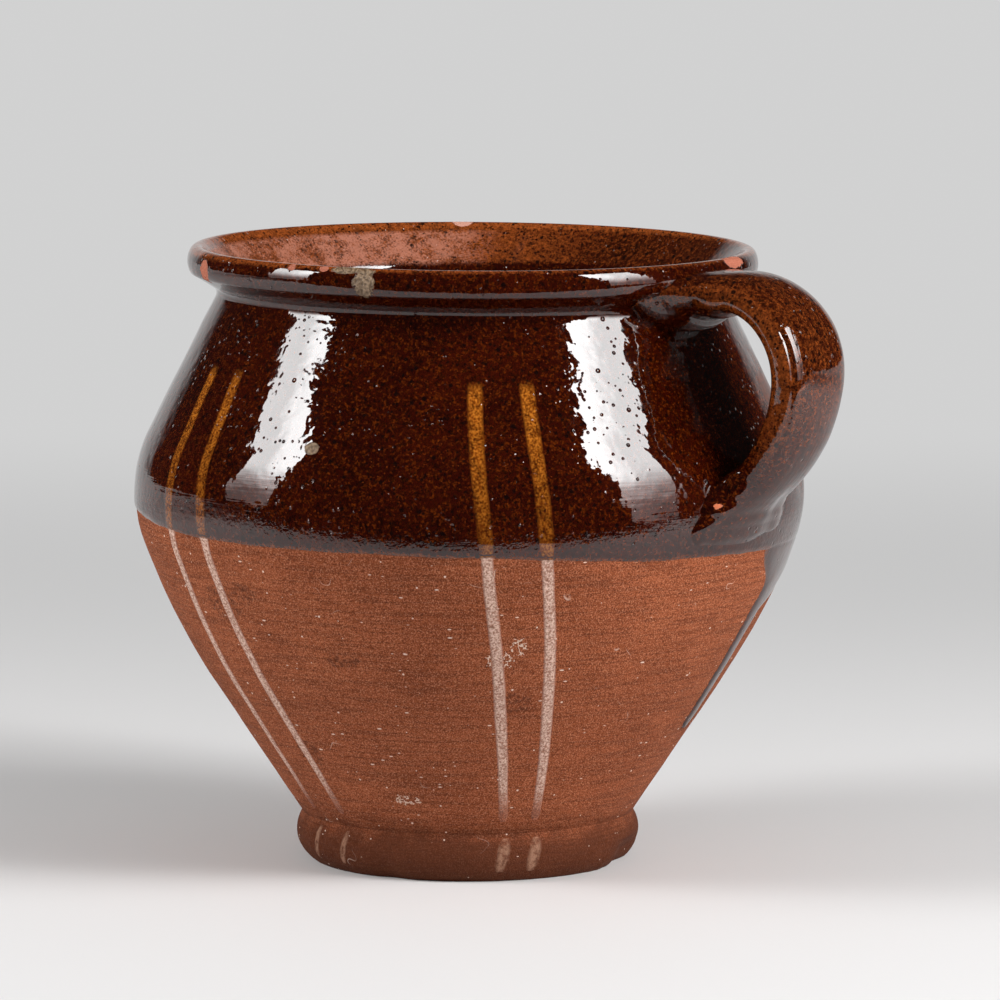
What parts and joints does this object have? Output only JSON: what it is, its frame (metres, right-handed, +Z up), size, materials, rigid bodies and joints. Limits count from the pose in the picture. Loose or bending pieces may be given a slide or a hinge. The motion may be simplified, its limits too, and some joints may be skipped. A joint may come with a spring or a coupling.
{
  "type": "jar",
  "caption": "Wheel-thrown terracotta jar with a strap handle, dark honey glaze inside and over the upper wall, bare lower wall and poured slip lines.",
  "frame": {"origin": "centre of the foot's flat base, on the axis the jar was thrown on", "axes": "+Z up along the jar's axis, +X from the axis towards the middle of the handle"},
  "size_m": [0.2144, 0.1902, 0.1746],
  "materials": {
    "terracotta": "matte",
    "honey_glaze": "gloss",
    "cream_slip": "matte"
  },
  "bodies": {
    "root": {"thrown_body": "terracotta", "strap_handle": "terracotta", "upper_joint_clay": "terracotta", "lower_joint_clay": "terracotta", "inner_glaze": "honey_glaze", "outer_glaze": "honey_glaze", "handle_glaze": "honey_glaze", "glaze_run": "honey_glaze", "foot_dabs": "cream_slip", "slip_line_1": "cream_slip", "slip_line_2": "cream_slip", "slip_line_3": "cream_slip", "slip_line_4": "cream_slip", "slip_line_5": "cream_slip", "slip_line_6": "cream_slip", "slip_line_7": "cream_slip", "slip_line_8": "cream_slip", "slip_line_9": "cream_slip", "slip_line_10": "cream_slip"}
  },
  "joints": []
}
